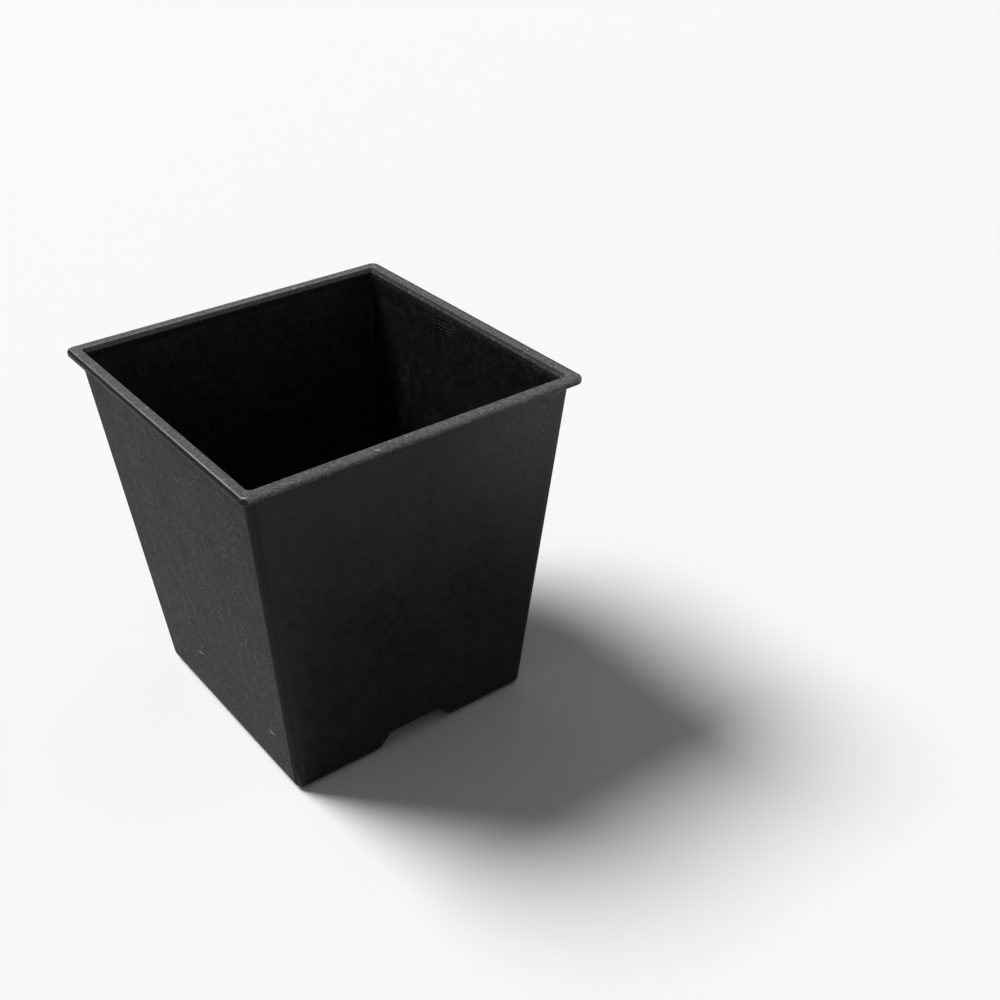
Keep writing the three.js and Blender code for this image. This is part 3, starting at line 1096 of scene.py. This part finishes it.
def ripples(nodes, place, inner):
    """Ripples near the mouth, on the inside of the right wall."""
    middle = [value * scale for value, scale in zip(RIPPLE_PLACE, RIPPLE_SHAPE)]
    near = nodes.span(nodes.distance(nodes.mapped(place, RIPPLE_SHAPE), middle), *SPANS["ripple"])
    waves = nodes.add("ShaderNodeTexWave", bands_direction="Z")
    nodes.set(waves, Vector=place, **RIPPLE_WAVES)
    ripple = nodes.times(waves.outputs["Fac"], near)
    ripple = nodes.times(ripple, noise_span(nodes, place, "broken_ripple"))
    return nodes.times(ripple, inner)


def inside_marks(nodes, place, inner):
    """Streaks down the inside, smears, settled dust with painted light on the back wall, and dark flecks;
    there are fewer of them where the right wall has painted shade low down.
    """
    streak = noise_span(nodes, nodes.mapped(place, STREAK_STRETCH), "streak")
    smear = nodes.noise(place, *NOISES["smear"])
    # settled dust, with painted light where the back wall's inside nears the mouth
    settled_dust_and_light = nodes.span(inner, *SPANS["dust_and_light_places"])
    flecks = noise_span(nodes, place, "flecks")
    return {
        "streak": nodes.times(streak, inner),
        "smear": nodes.times(nodes.span(smear, *SPANS["smear"]), inner),
        "settled_dust_and_light": nodes.times(settled_dust_and_light, nodes.span(smear, *SPANS["settled_dust_and_light"])),
        "flecks": nodes.times(flecks, nodes.math("MINIMUM", inner, 1.0)),
    }


def rubbed_and_painted_light(nodes, place, wear_and_light, amount):
    """Rubbed places and painted light, which are blotchy where the surface is scuffed and more even where
    it isn't.
    """
    blotch = nodes.plus(noise_span(nodes, place, "blotch"), noise_span(nodes, place, "spots"))
    blotch = nodes.times(blotch, nodes.span(amount, *SPANS["blotch_grain"]))
    return nodes.times(wear_and_light, nodes.plus(blotch, 1.0))


def plastic_colour(nodes, marks):
    dark, light = PLASTIC_GREYS
    colour = nodes.mix(nodes.span(marks["mottle"], *SPANS["mottle"]), grey(dark), grey(light))
    for name, share, level in LAYERS:
        colour = nodes.mix(nodes.times(marks[name], share), colour, grey(level))
    return colour


def plastic_roughness(nodes, marks):
    roughness = nodes.span(marks["mottle"], *SPANS["mottle_roughness"])
    roughness = nodes.plus(roughness, nodes.span(marks["clouds"], *SPANS["cloud_roughness"]))
    for name, share in ROUGHNESS_SHARES:
        roughness = nodes.plus(roughness, nodes.times(marks[name], share))
    return roughness


def plastic_height(nodes, marks):
    height = nodes.plus(marks["fine"], nodes.times(marks["bend"], BEND_HEIGHT))
    height = nodes.times(height, marks["grain"])
    height = nodes.plus(height, nodes.times(marks["scratch"], SCRATCH_HEIGHT))
    return nodes.plus(height, nodes.times(marks["ripple"], RIPPLE_HEIGHT))


def make_plastic():
    material, nodes = new_material(SLOT)
    place = nodes.mapped(nodes.add("ShaderNodeTexCoord").outputs["Object"], [1.0 / MM] * 3)
    marks = {name: nodes.attribute(name) for name in FIELDS}
    marks["clouds"] = nodes.noise(place, *NOISES["cloud"])
    marks["cloud"] = nodes.span(marks["clouds"], *SPANS["cloud"])
    marks["mottle"] = nodes.noise(place, *NOISES["mottle"])
    marks |= grain_marks(nodes, place, marks["grain"])
    marks |= inside_marks(nodes, place, marks["inner"])
    marks["specks"] = specks(nodes, place, marks["grain"])
    marks["scratch"] = scratches(nodes, place)
    marks["nick"] = single_marks(nodes, place)
    marks["ripple"] = ripples(nodes, place, marks["inner"])
    # rubbed places, together with the light and reflection painted on the rim and the front wall
    marks["rubbed_and_painted_light"] = rubbed_and_painted_light(nodes, place, marks["wear_and_light"], marks["grain"])
    # the highest wear values are painted highlight: the left top edge's line, the near corner and the back
    # bevel's light
    marks["bare"] = nodes.span(marks["wear_and_light"], *SPANS["bare"])
    bump = nodes.add("ShaderNodeBump")
    nodes.set(bump, Strength=BUMP_STRENGTH, Distance=BUMP_DISTANCE, Height=plastic_height(nodes, marks))
    surface = nodes.add("ShaderNodeBsdfPrincipled")
    nodes.set(surface, Base_Color=plastic_colour(nodes, marks), Roughness=plastic_roughness(nodes, marks))
    nodes.set(surface, IOR=PLASTIC_IOR, Specular_IOR_Level=PLASTIC_SPECULAR, Normal=bump.outputs["Normal"])
    nodes.set(nodes.add("ShaderNodeOutputMaterial"), Surface=surface.outputs["BSDF"])
    return material


# Studio floor

FLOOR_COLOUR = (0.9, 0.9, 0.9, 1.0)
FLOOR_ROUGHNESS = 0.9
FLOOR_IOR = 1.3
FLOOR_SPREAD = 60.0


def make_stage():
    material, nodes = new_material("pale_floor")
    surface = nodes.add("ShaderNodeBsdfPrincipled")
    nodes.set(surface, Base_Color=FLOOR_COLOUR, Roughness=FLOOR_ROUGHNESS, IOR=FLOOR_IOR)
    nodes.set(nodes.add("ShaderNodeOutputMaterial"), Surface=surface.outputs["BSDF"])
    mesh = bpy.data.meshes.new("studio_floor")
    corners = [(-1, -1), (1, -1), (1, 1), (-1, 1)]
    mesh.from_pydata([(x * FLOOR_SPREAD, y * FLOOR_SPREAD, 0.0) for x, y in corners], [], [(0, 1, 2, 3)])
    mesh.materials.append(material)
    floor = bpy.data.objects.new("studio_floor", mesh)
    bpy.context.scene.collection.objects.link(floor)


# Light

# The world's light, and its level where it is seen, which is the floor's, so that no horizon shows
WORLD_LIGHT = 0.15
WORLD_SEEN = 0.957
WHITE = (1.0, 1.0, 1.0, 1.0)
KEY_STRENGTH = 3.5
KEY_ANGLE = math.radians(26.0)
KEY_PLACE = (-0.36, 0.56, 0.89)


def make_world():
    world = bpy.data.worlds.new("studio_world")
    world.use_nodes = True
    world.node_tree.nodes.clear()
    nodes = Nodes(world.node_tree)
    path = nodes.add("ShaderNodeLightPath")
    seen = nodes.math("MAXIMUM", path.outputs["Is Camera Ray"], path.outputs["Is Glossy Ray"])
    seen = nodes.math("MAXIMUM", seen, path.outputs["Is Transmission Ray"])
    background = nodes.add("ShaderNodeBackground")
    nodes.set(background, Color=WHITE, Strength=nodes.span(seen, 0.0, 1.0, WORLD_LIGHT, WORLD_SEEN))
    nodes.set(nodes.add("ShaderNodeOutputWorld"), Surface=background.outputs["Background"])
    bpy.context.scene.world = world


def make_key():
    lamp = bpy.data.lights.new("key_lamp", "SUN")
    lamp.energy = KEY_STRENGTH
    lamp.angle = KEY_ANGLE
    holder = bpy.data.objects.new("key_lamp", lamp)
    holder.location = KEY_PLACE
    holder.rotation_mode = "QUATERNION"
    holder.rotation_quaternion = Vector(KEY_PLACE).to_track_quat("Z", "Y")
    bpy.context.scene.collection.objects.link(holder)


# Camera, at the photograph's viewing angle

CAMERA_PLACE = (-0.14283, -0.25818, 0.23612)
CAMERA_AZIMUTH = math.radians(-37.32)
CAMERA_ELEVATION = math.radians(31.94)
CAMERA_ROLL = math.radians(-0.365)
CAMERA_FOCAL = 1.357
CAMERA_SENSOR = 36.0
CAMERA_CLIP_START = 0.01


def make_camera():
    data = bpy.data.cameras.new("camera")
    data.sensor_width = CAMERA_SENSOR
    data.lens = CAMERA_FOCAL * CAMERA_SENSOR
    data.clip_start = CAMERA_CLIP_START
    camera = bpy.data.objects.new("camera", data)
    level = math.cos(CAMERA_ELEVATION)
    east = math.sin(CAMERA_AZIMUTH)
    north = math.cos(CAMERA_AZIMUTH)
    back = Vector((east * level, -north * level, math.sin(CAMERA_ELEVATION)))
    right = Vector((north, east, 0.0))
    up = back.cross(right)
    cosine = math.cos(CAMERA_ROLL)
    sine = math.sin(CAMERA_ROLL)
    axes = (cosine * right + sine * up, cosine * up - sine * right, back)
    camera.matrix_world = Matrix.Translation(CAMERA_PLACE) @ Matrix(axes).transposed().to_4x4()
    bpy.context.scene.collection.objects.link(camera)
    bpy.context.scene.camera = camera


# The pieces and the studio

plastic = make_plastic()
make_rim()
for turns, side in enumerate(SIDE_NAMES):
    make_wall(f"wall_{side}_skin", f"wall_{side}", turns)
make_floor()
make_foot("foot_left_skin", "foot_left", -1)
make_foot("foot_right_skin", "foot_right", 1)
make_stage()
make_world()
make_key()
make_camera()
bpy.context.scene.view_settings.view_transform = "Standard"
